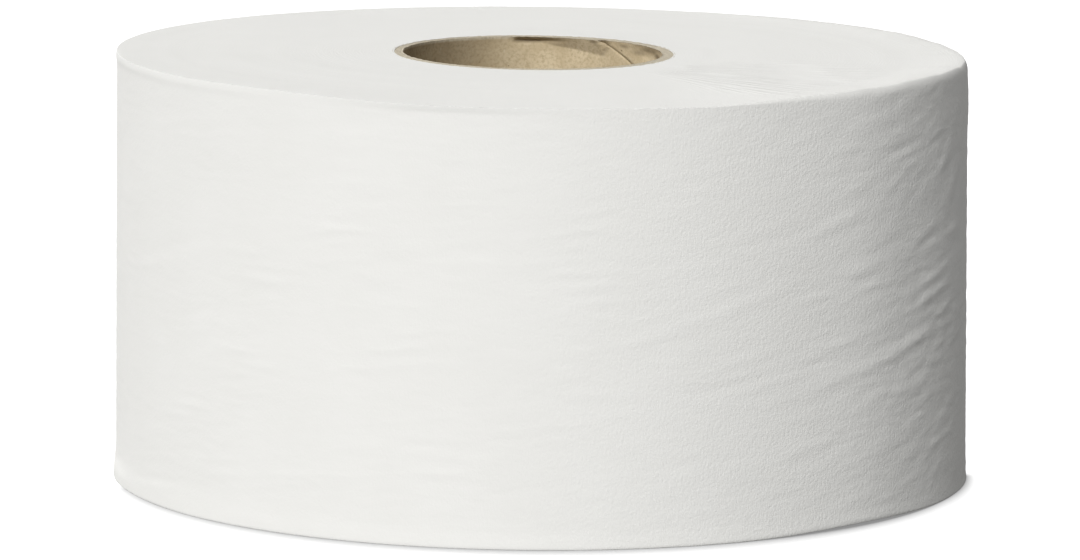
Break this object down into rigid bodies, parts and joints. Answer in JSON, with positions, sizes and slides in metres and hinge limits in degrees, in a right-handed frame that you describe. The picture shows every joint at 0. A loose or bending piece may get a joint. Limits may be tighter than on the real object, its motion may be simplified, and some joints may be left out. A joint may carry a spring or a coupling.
{
  "type": "toilet paper roll",
  "caption": "Wide, low jumbo roll of white toilet tissue wound on a cardboard tube, standing on its end with the tube's open bore upright.",
  "frame": {"origin": "on the tube's axis, in the plane of the end that the roll stands on", "axes": "+Z along the tube, towards the upper end; -Y is the side seen in the picture, +X to its right"},
  "size_m": [0.188, 0.1882, 0.093],
  "materials": {
    "tissue": "soft matt creped tissue, finely embossed",
    "cardboard": "matt grey-brown recycled board"
  },
  "bodies": {
    "root": {"tissue_winding": "tissue", "cardboard_core": "cardboard"}
  },
  "joints": []
}
